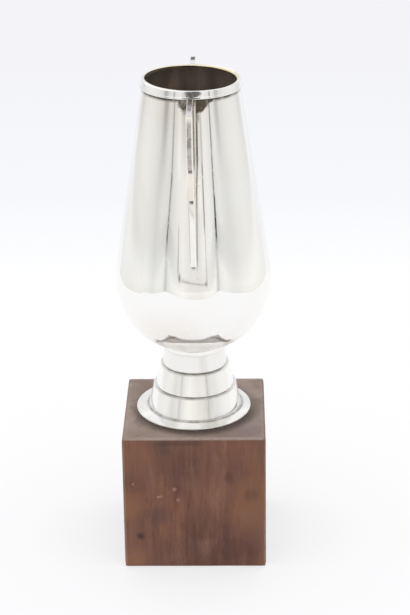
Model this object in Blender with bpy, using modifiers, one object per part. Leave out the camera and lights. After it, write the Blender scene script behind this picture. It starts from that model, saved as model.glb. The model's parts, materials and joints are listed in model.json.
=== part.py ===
# Two-handled trophy cup with a stepped foot, held on a square wooden plinth by a stud and nut.
# Metres, +Z up. The origin lies under the cup's axis, on the plinth's underside.
# The handles lie along X and the cup's face looks along -Y.

import math

import bmesh
import bpy
from mathutils import Matrix, Vector

# Plinth: a solid block, a trace wider at its foot, with the cup set a little off its middle
PLINTH_TOP_WIDTH = 0.0700
PLINTH_FOOT_WIDTH = 0.0705
PLINTH_HEIGHT = 0.0713
PLINTH_EDGE_ROUND = 0.0009
CUP_SET_BACK = 0.0044
NUT_RECESS_WIDTH = 0.0220
NUT_RECESS_DEPTH = 0.0140

# Sheet metal and the clearances between pieces
CUP_SHEET = 0.0008
FOOT_SHEET = 0.0012
SEAT_GAP = 0.0003
STUD_SLACK = 0.0003

# Foot: a flanged lower tier, a middle tier and an upper tier, stacked on each other's lips
FLANGE_RADIUS = 0.0291
FLANGE_THICKNESS = 0.00195
FLANGE_EDGE_ROUND = 0.0008
FLANGE_FILLET = 0.0024
LOWER_TIER_HEIGHT = 0.0133
LOWER_TIER_TOP_RADIUS = 0.0209
LOWER_TIER_BASE_RADIUS = 0.0229
MIDDLE_TIER_HEIGHT = 0.0114
MIDDLE_TIER_TOP_RADIUS = 0.0176
MIDDLE_TIER_BASE_RADIUS = 0.0201
UPPER_TIER_HEIGHT = 0.0089
UPPER_TIER_TOP_RADIUS = 0.0155
UPPER_TIER_BASE_RADIUS = 0.0164
TIER_EDGE_ROUND = 0.0004
LIP_OVERLAP = 0.0030

# Neck ring between the foot and the bowl
NECK_RADIUS = 0.01505
NECK_SEAT_WIDTH = 0.0045
NECK_EDGE_ROUND = 0.0004

# Cup: a round bowl that runs straight on into a tapering side, tangent to it
BOWL_RADIUS = 0.03844
BOWL_CLEAR_OF_FOOT = 0.00012
SIDE_HEIGHT_OVER_BOWL_CENTRE = 0.1000
SIDE_TOP_RADIUS = 0.02266

# Rim band: caps the edge of the cup and runs down its side
MOUTH_RADIUS = 0.02186
BAND_HEIGHT = 0.00455
BAND_WALL = 0.00075
BAND_LIP_THICKNESS = 0.0008
BAND_EDGE_ROUND = 0.0003
BEAD_PROUD = 0.00022
BEAD_HEIGHT = 0.0011

# Handles: one strap each, stepping in towards the cup on its way down
HANDLE_REACH = 0.0497
HANDLE_DROP_BELOW_RIM = 0.0034
STRAP_WIDTH = 0.0030
STRAP_THICKNESS = 0.0026
STRAP_EDGE_ROUND = 0.00045
UPPER_STEP_DEPTH = 0.0049
LOWER_STEP_DEPTH = 0.0049
UPPER_RUN = 0.0259
MIDDLE_RUN = 0.0166
LOWER_RUN = 0.0350

# Fixing: a headed stud on a round plate in the foot, with a washer and a nut under the plinth
PLATE_THICKNESS = 0.0020
STUD_RADIUS = 0.0025
STUD_HEAD_RADIUS = 0.0042
STUD_HEAD_HEIGHT = 0.0014
STUD_BELOW_NUT = 0.0020
STUD_CHAMFER = 0.0006
WASHER_RADIUS = 0.0075
WASHER_THICKNESS = 0.0012
NUT_ACROSS_FLATS = 0.0080
NUT_HEIGHT = 0.0040
NUT_CHAMFER_RISE = 0.0007

# Facets
TURNED_STEPS = 56
SMALL_TURNED_STEPS = 28
BOWL_ARC_STEPS = 14
NECK_SEAT_STEPS = 4
ROUND_STEPS = 2

# A corner's round takes up to this share of the straight beside it
ROUND_REACH = 0.45

# How far cutters and blanks run past the faces they cut or are cut by
HOLE_OVERSHOOT = 0.002
NUT_OVERSHOOT = 0.001
ENVELOPE_OVERSHOOT = 0.005
STRAP_BLANK_ROOT = 0.010

# Points closer than this are one
TURN_MERGE = 1e-5
WELD_MERGE = 1e-6


def clear_scene():
    for obj in list(bpy.data.objects):
        bpy.data.objects.remove(obj, do_unlink=True)


def new_collection(name):
    collection = bpy.data.collections.new(name)
    bpy.context.scene.collection.children.link(collection)
    return collection


def new_material(name, colour, roughness, metallic):
    material = bpy.data.materials.new(name)
    material.use_nodes = True
    shader = material.node_tree.nodes["Principled BSDF"]
    shader.inputs["Base Color"].default_value = (*colour, 1.0)
    shader.inputs["Roughness"].default_value = roughness
    shader.inputs["Metallic"].default_value = metallic
    return material


def new_object(name, mesh, collection, material=None):
    obj = bpy.data.objects.new(name, mesh)
    collection.objects.link(obj)
    if material:
        mesh.materials.append(material)
    return obj


def as_cutter(obj):
    obj.hide_render = True
    obj.display_type = "WIRE"
    return obj


def arc(centre_r, centre_z, radius, start, end, steps):
    """Points of an arc in the (r, z) plane, its ends included."""
    points = []
    for i in range(steps + 1):
        angle = start + (end - start) * i / steps
        points.append((centre_r + radius * math.cos(angle), centre_z + radius * math.sin(angle)))
    return points


def rounded(corners):
    """An outline of (r, z) or (r, z, round) corners, each round one turned into a small arc."""
    outline = []
    for i, corner in enumerate(corners):
        here = Vector(corner[:2])
        if len(corner) < 3 or not corner[2]:
            outline.append(tuple(here))
            continue
        before = Vector(corners[i - 1][:2]) - here
        after = Vector(corners[(i + 1) % len(corners)][:2]) - here
        half_turn = before.angle(after) / 2
        longest = ROUND_REACH * min(before.length, after.length)
        reach = min(corner[2] / math.tan(half_turn), longest)
        radius = reach * math.tan(half_turn)
        middle = (before.normalized() + after.normalized()).normalized()
        centre = here + middle * (radius / math.sin(half_turn))
        first = here + before.normalized() * reach - centre
        last = here + after.normalized() * reach - centre
        sweep = first.angle_signed(last)
        for k in range(ROUND_STEPS + 1):
            outline.append(tuple(centre + Matrix.Rotation(-sweep * k / ROUND_STEPS, 2) @ first))
    return outline


def turned(name, outline, collection, material=None, closed=True, steps=TURNED_STEPS):
    """A body of revolution about the cup's axis. Its outline runs down the outer side."""
    mesh = bpy.data.meshes.new(name)
    points = [(r, 0.0, z) for r, z in outline]
    edges = [(i, i + 1) for i in range(len(points) - 1)]
    if closed:
        edges.append((len(points) - 1, 0))
    mesh.from_pydata(points, edges, [])
    obj = new_object(name, mesh, collection, material)
    screw = obj.modifiers.new("Turn", "SCREW")
    screw.axis = "Z"
    screw.angle = math.tau
    screw.steps = steps
    screw.render_steps = steps
    screw.use_merge_vertices = True
    screw.merge_threshold = TURN_MERGE
    screw.use_smooth_shade = True
    return obj


def cut(obj, cutter, name="Cut"):
    boolean = obj.modifiers.new(name, "BOOLEAN")
    boolean.operation = "DIFFERENCE"
    boolean.solver = "EXACT"
    boolean.object = cutter
    return boolean


# Levels, from the plinth's underside up
DECK = PLINTH_HEIGHT
FLANGE_SEAT = DECK + SEAT_GAP
LOWER_LIP_TOP = DECK + LOWER_TIER_HEIGHT
MIDDLE_LIP_TOP = LOWER_LIP_TOP + MIDDLE_TIER_HEIGHT
UPPER_LIP_TOP = MIDDLE_LIP_TOP + UPPER_TIER_HEIGHT
BOWL_CENTRE = UPPER_LIP_TOP - BOWL_CLEAR_OF_FOOT + BOWL_RADIUS
RIM_TOP = BOWL_CENTRE + SIDE_HEIGHT_OVER_BOWL_CENTRE
BAND_BOTTOM = RIM_TOP - BAND_HEIGHT

# The side leaves the bowl at the angle where a straight line to the rim is tangent to it.
SIDE_ANGLE = math.atan2(SIDE_HEIGHT_OVER_BOWL_CENTRE, SIDE_TOP_RADIUS) - math.acos(
    BOWL_RADIUS / math.hypot(SIDE_HEIGHT_OVER_BOWL_CENTRE, SIDE_TOP_RADIUS)
)


def bowl_bottom(radius, offset=0.0):
    """The height of the bowl's outer surface at this radius, below its widest point."""
    return BOWL_CENTRE - math.sqrt((BOWL_RADIUS + offset) ** 2 - radius**2)


def side_radius(height, offset=0.0):
    """The radius of the tapering side at this height, with an offset square to its surface."""
    return (BOWL_RADIUS + offset - (height - BOWL_CENTRE) * math.sin(SIDE_ANGLE)) / math.cos(SIDE_ANGLE)


def make_plinth(collection, cutters, material):
    mesh = bpy.data.meshes.new("plinth_block")
    bm = bmesh.new()
    bmesh.ops.create_cube(bm, size=1.0)
    for vert in bm.verts:
        width = PLINTH_TOP_WIDTH if vert.co.z > 0 else PLINTH_FOOT_WIDTH
        vert.co.x *= width
        vert.co.y *= width
        vert.co.z = PLINTH_HEIGHT if vert.co.z > 0 else 0.0
    bm.to_mesh(mesh)
    bm.free()
    plinth = new_object("plinth_block", mesh, collection, material)
    plinth.location.x = CUP_SET_BACK
    bevel = plinth.modifiers.new("Worn edges", "BEVEL")
    bevel.width = PLINTH_EDGE_ROUND
    bevel.segments = 2
    bevel.limit_method = "ANGLE"
    bore = STUD_RADIUS + STUD_SLACK
    past = HOLE_OVERSHOOT
    stepped_hole = [
        (0.0, PLINTH_HEIGHT + past),
        (bore, PLINTH_HEIGHT + past),
        (bore, NUT_RECESS_DEPTH),
        (NUT_RECESS_WIDTH / 2, NUT_RECESS_DEPTH),
        (NUT_RECESS_WIDTH / 2, -past),
        (0.0, -past),
    ]
    hole = turned("stud_hole", stepped_hole, cutters, closed=False, steps=SMALL_TURNED_STEPS)
    cut(plinth, as_cutter(hole), "Stud hole and nut recess")
    return plinth


def tier_wall(base_z, top_z, base_radius, top_radius, lip_radius):
    """Corners of a tapering tier of sheet metal with an inward lip at its top."""
    sheet = FOOT_SHEET
    return [
        (lip_radius, top_z),
        (top_radius, top_z, TIER_EDGE_ROUND),
        (base_radius, base_z),
        (base_radius - sheet, base_z),
        (top_radius - sheet, top_z - sheet),
        (lip_radius, top_z - sheet),
    ]


def make_foot(collection, material):
    sheet = FOOT_SHEET
    flange_top = DECK + FLANGE_THICKNESS
    lower_lip = MIDDLE_TIER_BASE_RADIUS - FOOT_SHEET - LIP_OVERLAP
    lower = [
        (lower_lip, LOWER_LIP_TOP),
        (LOWER_TIER_TOP_RADIUS, LOWER_LIP_TOP, TIER_EDGE_ROUND),
        (LOWER_TIER_BASE_RADIUS, flange_top, FLANGE_FILLET),
        (FLANGE_RADIUS, flange_top, FLANGE_EDGE_ROUND),
        (FLANGE_RADIUS, FLANGE_SEAT, FLANGE_EDGE_ROUND / 2),
        (LOWER_TIER_BASE_RADIUS - sheet, FLANGE_SEAT),
        (LOWER_TIER_TOP_RADIUS - sheet, LOWER_LIP_TOP - sheet),
        (lower_lip, LOWER_LIP_TOP - sheet),
    ]
    turned("lower_tier", rounded(lower), collection, material)
    middle_lip = UPPER_TIER_BASE_RADIUS - FOOT_SHEET - LIP_OVERLAP
    middle = tier_wall(
        LOWER_LIP_TOP + SEAT_GAP,
        MIDDLE_LIP_TOP,
        MIDDLE_TIER_BASE_RADIUS,
        MIDDLE_TIER_TOP_RADIUS,
        middle_lip,
    )
    turned("middle_tier", rounded(middle), collection, material)
    upper_lip = NECK_RADIUS - NECK_SEAT_WIDTH - LIP_OVERLAP
    upper = tier_wall(
        MIDDLE_LIP_TOP + SEAT_GAP,
        UPPER_LIP_TOP,
        UPPER_TIER_BASE_RADIUS,
        UPPER_TIER_TOP_RADIUS,
        upper_lip,
    )
    turned("upper_tier", rounded(upper), collection, material)


def make_neck_ring(collection, material):
    """A wedge-shaped ring whose top is hollowed to the bowl."""
    inner = NECK_RADIUS - NECK_SEAT_WIDTH
    base = UPPER_LIP_TOP + SEAT_GAP
    seat = []
    for i in range(NECK_SEAT_STEPS + 1):
        r = inner + (NECK_RADIUS - inner) * i / NECK_SEAT_STEPS
        seat.append((r, bowl_bottom(r, SEAT_GAP)))
    seat[-1] = (*seat[-1], NECK_EDGE_ROUND)
    ring = [*seat, (NECK_RADIUS, base, NECK_EDGE_ROUND), (inner, base)]
    turned("neck_ring", rounded(ring), collection, material)


def make_cup(collection, material):
    """The bowl and its tapering side in one sheet, from the inner bottom up and down the outside."""
    edge = RIM_TOP - BAND_LIP_THICKNESS - SEAT_GAP
    bottom = -math.pi / 2
    inner_radius = BOWL_RADIUS - CUP_SHEET
    inside = arc(0.0, BOWL_CENTRE, inner_radius, bottom, SIDE_ANGLE, BOWL_ARC_STEPS)
    outside = arc(0.0, BOWL_CENTRE, BOWL_RADIUS, SIDE_ANGLE, bottom, BOWL_ARC_STEPS)
    inside[0] = (0.0, inside[0][1])
    outside[-1] = (0.0, outside[-1][1])
    top = [(side_radius(edge, -CUP_SHEET), edge), (side_radius(edge), edge)]
    turned("cup_body", [*inside, *top, *outside], collection, material, closed=False)


def band_radius(height):
    """The rim band's outer radius at this height."""
    return side_radius(height, SEAT_GAP + BAND_WALL)


def make_rim_band(collection, material):
    lip_under = RIM_TOP - BAND_LIP_THICKNESS
    bead_top = BAND_BOTTOM + BEAD_HEIGHT
    bead = BEAD_PROUD
    band = [
        (MOUTH_RADIUS, RIM_TOP, BAND_EDGE_ROUND),
        (band_radius(RIM_TOP), RIM_TOP, BAND_EDGE_ROUND),
        (band_radius(bead_top), bead_top),
        (band_radius(bead_top) + bead, bead_top - bead),
        (band_radius(BAND_BOTTOM) + bead, BAND_BOTTOM, BAND_EDGE_ROUND),
        (side_radius(BAND_BOTTOM, SEAT_GAP), BAND_BOTTOM),
        (side_radius(lip_under, SEAT_GAP), lip_under),
        (MOUTH_RADIUS, lip_under, BAND_EDGE_ROUND),
    ]
    turned("rim_band", rounded(band), collection, material)


def handle_outline():
    """The strap seen from the side: down its outer steps, then back up inside them."""
    thick = STRAP_THICKNESS
    root = STRAP_BLANK_ROOT
    arm = RIM_TOP - HANDLE_DROP_BELOW_RIM
    upper = arm - UPPER_RUN
    lower = upper - MIDDLE_RUN
    foot = lower - LOWER_RUN
    middle_reach = HANDLE_REACH - UPPER_STEP_DEPTH
    lower_reach = middle_reach - LOWER_STEP_DEPTH
    return [
        (root, arm),
        (HANDLE_REACH, arm),
        (HANDLE_REACH, upper),
        (middle_reach, upper),
        (middle_reach, lower),
        (lower_reach, lower),
        (lower_reach, foot),
        (root, foot),
        (root, foot + thick),
        (lower_reach - thick, foot + thick),
        (lower_reach - thick, lower + thick),
        (middle_reach - thick, lower + thick),
        (middle_reach - thick, upper + thick),
        (HANDLE_REACH - thick, upper + thick),
        (HANDLE_REACH - thick, arm - thick),
        (root, arm - thick),
    ]


def strap_blank(name, outline, width, collection):
    """A flat outline in the XZ plane, extruded to the strap's width and made a mesh."""
    curve = bpy.data.curves.new(name + "_outline", "CURVE")
    curve.dimensions = "2D"
    curve.fill_mode = "BOTH"
    curve.extrude = width / 2
    spline = curve.splines.new("POLY")
    spline.points.add(len(outline) - 1)
    for point, (x, z) in zip(spline.points, outline):
        point.co = (x, z, 0.0, 1.0)
    spline.use_cyclic_u = True
    drawn = bpy.data.objects.new(name + "_outline", curve)
    collection.objects.link(drawn)
    drawn.rotation_euler.x = math.pi / 2
    bpy.context.view_layer.update()
    seen = drawn.evaluated_get(bpy.context.evaluated_depsgraph_get())
    mesh = bpy.data.meshes.new_from_object(seen)
    mesh.transform(drawn.matrix_world)
    bpy.data.objects.remove(drawn, do_unlink=True)
    weld(mesh)
    return mesh


def weld(mesh):
    bm = bmesh.new()
    bm.from_mesh(mesh)
    bmesh.ops.remove_doubles(bm, verts=bm.verts, dist=WELD_MERGE)
    bmesh.ops.recalc_face_normals(bm, faces=bm.faces)
    bm.to_mesh(mesh)
    bm.free()


def make_cup_envelope(cutters):
    """The cup and its band with a seat gap round them, which trims the ends of the handles."""
    gap = SEAT_GAP
    above = RIM_TOP + ENVELOPE_OVERSHOOT
    band_out = band_radius(BAND_BOTTOM) + BEAD_PROUD + gap
    outline = [
        (0.0, above),
        (band_out, above),
        (band_out, BAND_BOTTOM - gap),
        (side_radius(BAND_BOTTOM - gap, gap), BAND_BOTTOM - gap),
        *arc(0.0, BOWL_CENTRE, BOWL_RADIUS + gap, SIDE_ANGLE, 0.0, BOWL_ARC_STEPS // 2),
        (0.0, BOWL_CENTRE),
    ]
    envelope = turned("cup_envelope", outline, cutters, closed=False)
    return as_cutter(envelope)


def make_handle(name, side, envelope, collection, material):
    """side is 1 for the handle at +X and -1 for the one at -X."""
    mesh = strap_blank(name, handle_outline(), STRAP_WIDTH, collection)
    handle = new_object(name, mesh, collection, material)
    handle.rotation_euler.z = 0.0 if side > 0 else math.pi
    bevel = handle.modifiers.new("Softened edges", "BEVEL")
    bevel.width = STRAP_EDGE_ROUND
    bevel.segments = 2
    bevel.limit_method = "ANGLE"
    cut(handle, envelope, "Seat on the cup")
    return handle


def make_fixing(collection, steel, brass):
    slack = STUD_RADIUS + STUD_SLACK
    plate_base = LOWER_LIP_TOP + SEAT_GAP
    plate_top = plate_base + PLATE_THICKNESS
    plate_radius = MIDDLE_TIER_BASE_RADIUS - FOOT_SHEET - 2 * SEAT_GAP
    plate_taper = (MIDDLE_TIER_BASE_RADIUS - MIDDLE_TIER_TOP_RADIUS) / MIDDLE_TIER_HEIGHT
    plate = [
        (slack, plate_top),
        (plate_radius - plate_taper * PLATE_THICKNESS, plate_top),
        (plate_radius, plate_base),
        (slack, plate_base),
    ]
    turned("bearer_plate", plate, collection, brass)

    washer_top = NUT_RECESS_DEPTH - SEAT_GAP
    washer_base = washer_top - WASHER_THICKNESS
    nut_top = washer_base - SEAT_GAP
    nut_base = nut_top - NUT_HEIGHT
    stud_end = nut_base - STUD_BELOW_NUT
    head_base = plate_top + SEAT_GAP
    stud = [
        (0.0, head_base + STUD_HEAD_HEIGHT),
        (STUD_HEAD_RADIUS, head_base + STUD_HEAD_HEIGHT),
        (STUD_HEAD_RADIUS, head_base),
        (STUD_RADIUS, head_base),
        (STUD_RADIUS, stud_end + STUD_CHAMFER),
        (STUD_RADIUS - STUD_CHAMFER, stud_end),
        (0.0, stud_end),
    ]
    turned("clamp_stud", stud, collection, steel, closed=False, steps=SMALL_TURNED_STEPS)

    washer = [
        (slack, washer_top),
        (WASHER_RADIUS, washer_top),
        (WASHER_RADIUS, washer_base),
        (slack, washer_base),
    ]
    turned("washer", washer, collection, steel, steps=SMALL_TURNED_STEPS)
    return nut_base, nut_top


def make_nut(nut_base, nut_top, collection, cutters, steel):
    """A hexagon with its lower corners chamfered and a hole for the stud."""
    corner_radius = NUT_ACROSS_FLATS / math.sqrt(3)
    mesh = bpy.data.meshes.new("clamp_nut")
    bm = bmesh.new()
    bmesh.ops.create_cone(
        bm,
        cap_ends=True,
        segments=6,
        radius1=corner_radius,
        radius2=corner_radius,
        depth=nut_top - nut_base,
        matrix=Matrix.Translation((0.0, 0.0, (nut_base + nut_top) / 2)),
    )
    bm.to_mesh(mesh)
    bm.free()
    nut = new_object("clamp_nut", mesh, collection, steel)
    past = NUT_OVERSHOOT
    flat_radius = NUT_ACROSS_FLATS / 2
    corner_ring = [
        (corner_radius + past, nut_base + NUT_CHAMFER_RISE),
        (corner_radius + past, nut_base - past),
        (flat_radius - past, nut_base - past),
        (flat_radius - NUT_CHAMFER_RISE / 2, nut_base),
    ]
    chamfer = turned("nut_chamfer", corner_ring, cutters, steps=SMALL_TURNED_STEPS)
    cut(nut, as_cutter(chamfer), "Chamfer")
    bore = STUD_RADIUS + STUD_SLACK
    bore_outline = [
        (0.0, nut_top + past),
        (bore, nut_top + past),
        (bore, nut_base - past),
        (0.0, nut_base - past),
    ]
    hole = turned("nut_hole", bore_outline, cutters, closed=False, steps=SMALL_TURNED_STEPS)
    cut(nut, as_cutter(hole), "Stud hole")
    return nut


def main():
    clear_scene()
    trophy = new_collection("trophy_cup")
    cutters = new_collection("cutters")
    silver = new_material("polished_silver", (0.86, 0.85, 0.83), 0.12, 1.0)
    silver_handles = new_material("handle_silver", (0.84, 0.83, 0.81), 0.16, 1.0)
    wood = new_material("plinth_wood", (0.20, 0.10, 0.065), 0.55, 0.0)
    steel = new_material("plain_steel", (0.56, 0.55, 0.53), 0.35, 1.0)
    brass = new_material("yellow_brass", (0.72, 0.56, 0.30), 0.35, 1.0)

    make_plinth(trophy, cutters, wood)
    make_foot(trophy, silver)
    make_neck_ring(trophy, silver)
    make_cup(trophy, silver)
    make_rim_band(trophy, silver)
    envelope = make_cup_envelope(cutters)
    make_handle("right_handle", 1, envelope, trophy, silver_handles)
    make_handle("left_handle", -1, envelope, trophy, silver_handles)
    nut_base, nut_top = make_fixing(trophy, steel, brass)
    make_nut(nut_base, nut_top, trophy, cutters, steel)
    cutters.hide_render = True


main()
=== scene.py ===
# A two-handled trophy cup with a stepped foot, on a square block of brown wood.
# Metres, +Z up. The cup's axis is the Z axis, the handles lie along X and the camera looks from +X.

import bpy
import json
import math
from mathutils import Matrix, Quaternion, Vector, noise

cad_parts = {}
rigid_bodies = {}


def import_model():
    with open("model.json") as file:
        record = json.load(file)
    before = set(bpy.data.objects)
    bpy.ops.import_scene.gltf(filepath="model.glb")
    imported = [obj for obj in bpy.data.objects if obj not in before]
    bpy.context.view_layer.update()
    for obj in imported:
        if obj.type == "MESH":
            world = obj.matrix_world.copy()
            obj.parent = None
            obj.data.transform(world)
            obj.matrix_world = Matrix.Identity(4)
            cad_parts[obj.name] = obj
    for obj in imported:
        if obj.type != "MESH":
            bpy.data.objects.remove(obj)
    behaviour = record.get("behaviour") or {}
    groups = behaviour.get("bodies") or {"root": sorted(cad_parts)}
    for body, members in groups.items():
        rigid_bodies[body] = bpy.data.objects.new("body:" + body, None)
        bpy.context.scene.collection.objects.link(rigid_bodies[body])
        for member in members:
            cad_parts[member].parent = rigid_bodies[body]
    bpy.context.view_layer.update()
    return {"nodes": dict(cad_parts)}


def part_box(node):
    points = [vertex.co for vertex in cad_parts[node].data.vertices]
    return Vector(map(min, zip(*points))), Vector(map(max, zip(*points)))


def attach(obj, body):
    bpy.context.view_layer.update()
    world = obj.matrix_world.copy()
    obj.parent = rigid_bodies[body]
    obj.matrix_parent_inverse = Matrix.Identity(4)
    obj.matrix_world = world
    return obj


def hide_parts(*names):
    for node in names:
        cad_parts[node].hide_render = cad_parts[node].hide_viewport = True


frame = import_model()
print("frame loaded,", len(frame["nodes"]), "nodes")


# Shader kit

class Wire:
    # One value or colour on its way through a finish. Sums on it add Math nodes.
    def __init__(self, finish, socket):
        self.finish = finish
        self.socket = socket

    def maths(self, operation, *values):
        return self.finish.node("ShaderNodeMath", {"operation": operation}, dict(enumerate(values)))

    def __add__(self, other):
        return self.maths("ADD", self, other)

    def __sub__(self, other):
        return self.maths("SUBTRACT", self, other)

    def __rsub__(self, other):
        return self.maths("SUBTRACT", other, self)

    def __mul__(self, other):
        return self.maths("MULTIPLY", self, other)

    def __truediv__(self, other):
        return self.maths("DIVIDE", self, other)

    def __abs__(self):
        return self.maths("ABSOLUTE", self)

    __radd__ = __add__

    def most(self, other):
        return self.maths("MAXIMUM", self, other)

    def least(self, other):
        return self.maths("MINIMUM", self, other)

    def root(self):
        return self.maths("SQRT", self)

    def ease(self, low, high, start=0.0, end=1.0):
        inputs = {0: self, 1: low, 2: high, 3: start, 4: end}
        return self.finish.node("ShaderNodeMapRange", {"interpolation_type": "SMOOTHSTEP"}, inputs)

    def near(self, centre, reach):
        return abs(self - centre).ease(reach, 0.0)

    def between(self, low, high, soft):
        return self.ease(low - soft, low + soft) * self.ease(high + soft, high - soft)


class Finish:
    def __init__(self, name, metallic=0.0, specular=0.5):
        self.material = bpy.data.materials.new(name)
        self.material.use_nodes = True
        self.tree = self.material.node_tree
        self.shader = self.tree.nodes["Principled BSDF"]
        self.shader.inputs["Metallic"].default_value = metallic
        self.shader.inputs["Specular IOR Level"].default_value = specular

    def node(self, kind, settings=None, inputs=None, output=0):
        made = self.tree.nodes.new(kind)
        for name, value in (settings or {}).items():
            setattr(made, name, value)
        self.feed(made, inputs or {})
        return Wire(self, made.outputs[output])

    def feed(self, node, inputs):
        for name, value in inputs.items():
            if isinstance(value, Wire):
                self.tree.links.new(value.socket, node.inputs[name])
            else:
                socket = node.inputs[name]
                socket.default_value = (*value, 1.0) if socket.type == "RGBA" else value

    def shade(self, **sockets):
        names = {"colour": "Base Color", "roughness": "Roughness", "metallic": "Metallic",
                 "normal": "Normal", "glow": "Emission Color"}
        self.feed(self.shader, {names[key]: value for key, value in sockets.items()})
        return self.material

    def place(self):
        return self.node("ShaderNodeTexCoord", output="Object")

    def axes(self, place):
        split = self.node("ShaderNodeSeparateXYZ", None, {0: place}).socket.node
        return [Wire(self, socket) for socket in split.outputs]

    def distance(self, place, spot):
        return self.node("ShaderNodeVectorMath", {"operation": "DISTANCE"}, {0: place, 1: spot}, 1)

    def mapped(self, place, scale=(1, 1, 1), turn=(0, 0, 0)):
        turns = tuple(math.radians(angle) for angle in turn)
        inputs = {"Vector": place, "Scale": scale, "Rotation": turns}
        return self.node("ShaderNodeMapping", {"vector_type": "POINT"}, inputs)

    def cloud(self, place, scale, detail=2.0, roughness=0.5, twist=0.0):
        inputs = {"Vector": place, "Scale": scale, "Detail": detail, "Roughness": roughness}
        return self.node("ShaderNodeTexNoise", None, {**inputs, "Distortion": twist})

    def mixed(self, share, first, second):
        colours = {0: share, 6: first, 7: second}
        return self.node("ShaderNodeMix", {"data_type": "RGBA"}, colours, 2)

    def ramp(self, value, stops):
        made = self.node("ShaderNodeValToRGB", None, {0: value})
        elements = made.socket.node.color_ramp.elements
        while len(elements) < len(stops):
            elements.new(1.0)
        for element, (place, colour) in zip(elements, stops):
            element.position = place
            element.color = (*colour, 1.0)
        return made

    def bump(self, height, depth, strength=1.0):
        inputs = {"Strength": strength, "Distance": depth, "Height": height}
        return self.node("ShaderNodeBump", None, inputs)


def azimuthOf(x, y):
    return x.maths("ARCTAN2", y, x) * (180 / math.pi)


def acrossOf(x, y):
    return (x * x + y * y).root()


def highest(masks):
    # The strongest of several masks, point by point
    top, *others = masks
    for mask in others:
        top = top.most(mask)
    return top


# Modelling kit

def editing(on):
    bpy.ops.object.mode_set(mode="EDIT" if on else "OBJECT")


def choose(piece=None):
    bpy.ops.object.select_all(action="DESELECT")
    if piece:
        bpy.context.view_layer.objects.active = piece
        piece.select_set(True)


def takeAll():
    bpy.ops.mesh.select_all(action="SELECT")


def extrude(step):
    bpy.ops.mesh.extrude_region_move(TRANSFORM_OT_translate={"value": step})


def drawLine(name, outline):
    # A plane merged to one vertex starts the line, which then runs from vertex to vertex in the XZ plane.
    # It leaves the piece in edit mode.
    choose()
    bpy.ops.mesh.primitive_plane_add(size=0.01)
    piece = bpy.context.object
    piece.name = name
    piece.data.name = name
    editing(True)
    bpy.ops.mesh.select_mode(type="VERT")
    takeAll()
    bpy.ops.mesh.merge(type="CENTER")
    bpy.ops.transform.translate(value=(outline[0][0], 0.0, outline[0][1]))
    for here, there in zip(outline, outline[1:]):
        extrude((there[0] - here[0], 0.0, there[1] - here[1]))
    return piece


def closeLine(piece):
    # Joins the line's last vertex to its first and leaves the piece in edit mode.
    editing(False)
    choose(piece)
    editing(True)
    bpy.ops.mesh.select_mode(type="VERT")
    bpy.ops.mesh.select_all(action="DESELECT")
    editing(False)
    for end in (0, -1):
        piece.data.vertices[end].select = True
    editing(True)
    bpy.ops.mesh.edge_face_add()


def spunPiece(name, outline, closed=True, steps=160):
    piece = drawLine(name, outline)
    if closed:
        closeLine(piece)
    takeAll()
    bpy.ops.mesh.spin(steps=steps, angle=math.tau, center=(0, 0, 0), axis=(0, 0, 1))
    takeAll()
    bpy.ops.mesh.remove_doubles(threshold=1e-6)
    bpy.ops.mesh.normals_make_consistent(inside=False)
    editing(False)
    return piece


def smoothPiece(piece, degrees):
    # Large faces keep their own slope and only the narrow rounded ones turn the light.
    choose(piece)
    bpy.ops.object.shade_smooth_by_angle(angle=math.radians(degrees))
    weighted = piece.modifiers.new("Weighted normals", "WEIGHTED_NORMAL")
    weighted.keep_sharp = True
    bpy.ops.object.modifier_apply(modifier=weighted.name)


def wear(piece, material):
    piece.data.materials.clear()
    piece.data.materials.append(material)


def finishPiece(piece, slot, *nodes):
    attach(piece, "root")
    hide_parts(*nodes)


def dressPiece(piece, material, node, slot="silver", degrees=40):
    wear(piece, material)
    smoothPiece(piece, degrees)
    finishPiece(piece, slot, node)


def softCorners(corners, steps=4):
    # Corners (x, z, radius) of a closed outline, each with a radius turned into a small arc.
    outline = []
    for i, (x, z, radius) in enumerate(corners):
        here = Vector((x, z))
        before = Vector(corners[i - 1][:2]) - here
        after = Vector(corners[(i + 1) % len(corners)][:2]) - here
        half = before.angle(after) / 2
        reach = min(radius / math.tan(half), 0.45 * before.length, 0.45 * after.length)
        if radius == 0.0 or reach < 1e-6:
            outline.append((x, z))
            continue
        radius = reach * math.tan(half)
        middle = (before.normalized() + after.normalized()).normalized()
        centre = here + middle * (radius / math.sin(half))
        first = here + before.normalized() * reach - centre
        last = here + after.normalized() * reach - centre
        sweep = first.angle_signed(last)
        for k in range(steps + 1):
            angle = -sweep * k / steps
            turned = (first.x * math.cos(angle) - first.y * math.sin(angle),
                      first.x * math.sin(angle) + first.y * math.cos(angle))
            outline.append((centre.x + turned[0], centre.y + turned[1]))
    return outline


# Camera

cameraSetup = {
    "place": (0.83993, 0.02034, 0.4835),
    "aim": (-0.0001, 0.00545, 0.12498),
    "roll": -0.6546,
    "lens": 107.41,
    "sensor": 36.0,
    "clip": (0.01, 50.0),
}


def makeCamera():
    data = bpy.data.cameras.new("studioCamera")
    data.lens = cameraSetup["lens"]
    data.sensor_width = cameraSetup["sensor"]
    data.clip_start, data.clip_end = cameraSetup["clip"]
    camera = bpy.data.objects.new("studioCamera", data)
    bpy.context.scene.collection.objects.link(camera)
    place = Vector(cameraSetup["place"])
    look = (Vector(cameraSetup["aim"]) - place).to_track_quat("-Z", "Y")
    camera.location = place
    camera.rotation_mode = "QUATERNION"
    camera.rotation_quaternion = look @ Quaternion((0, 0, 1), math.radians(cameraSetup["roll"]))
    bpy.context.scene.camera = camera


# Studio: a pale floor under a white sky, and a glowing cloth wall that shows only in reflections, with its
# folds, seams and dark shapes painted into its glow

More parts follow.
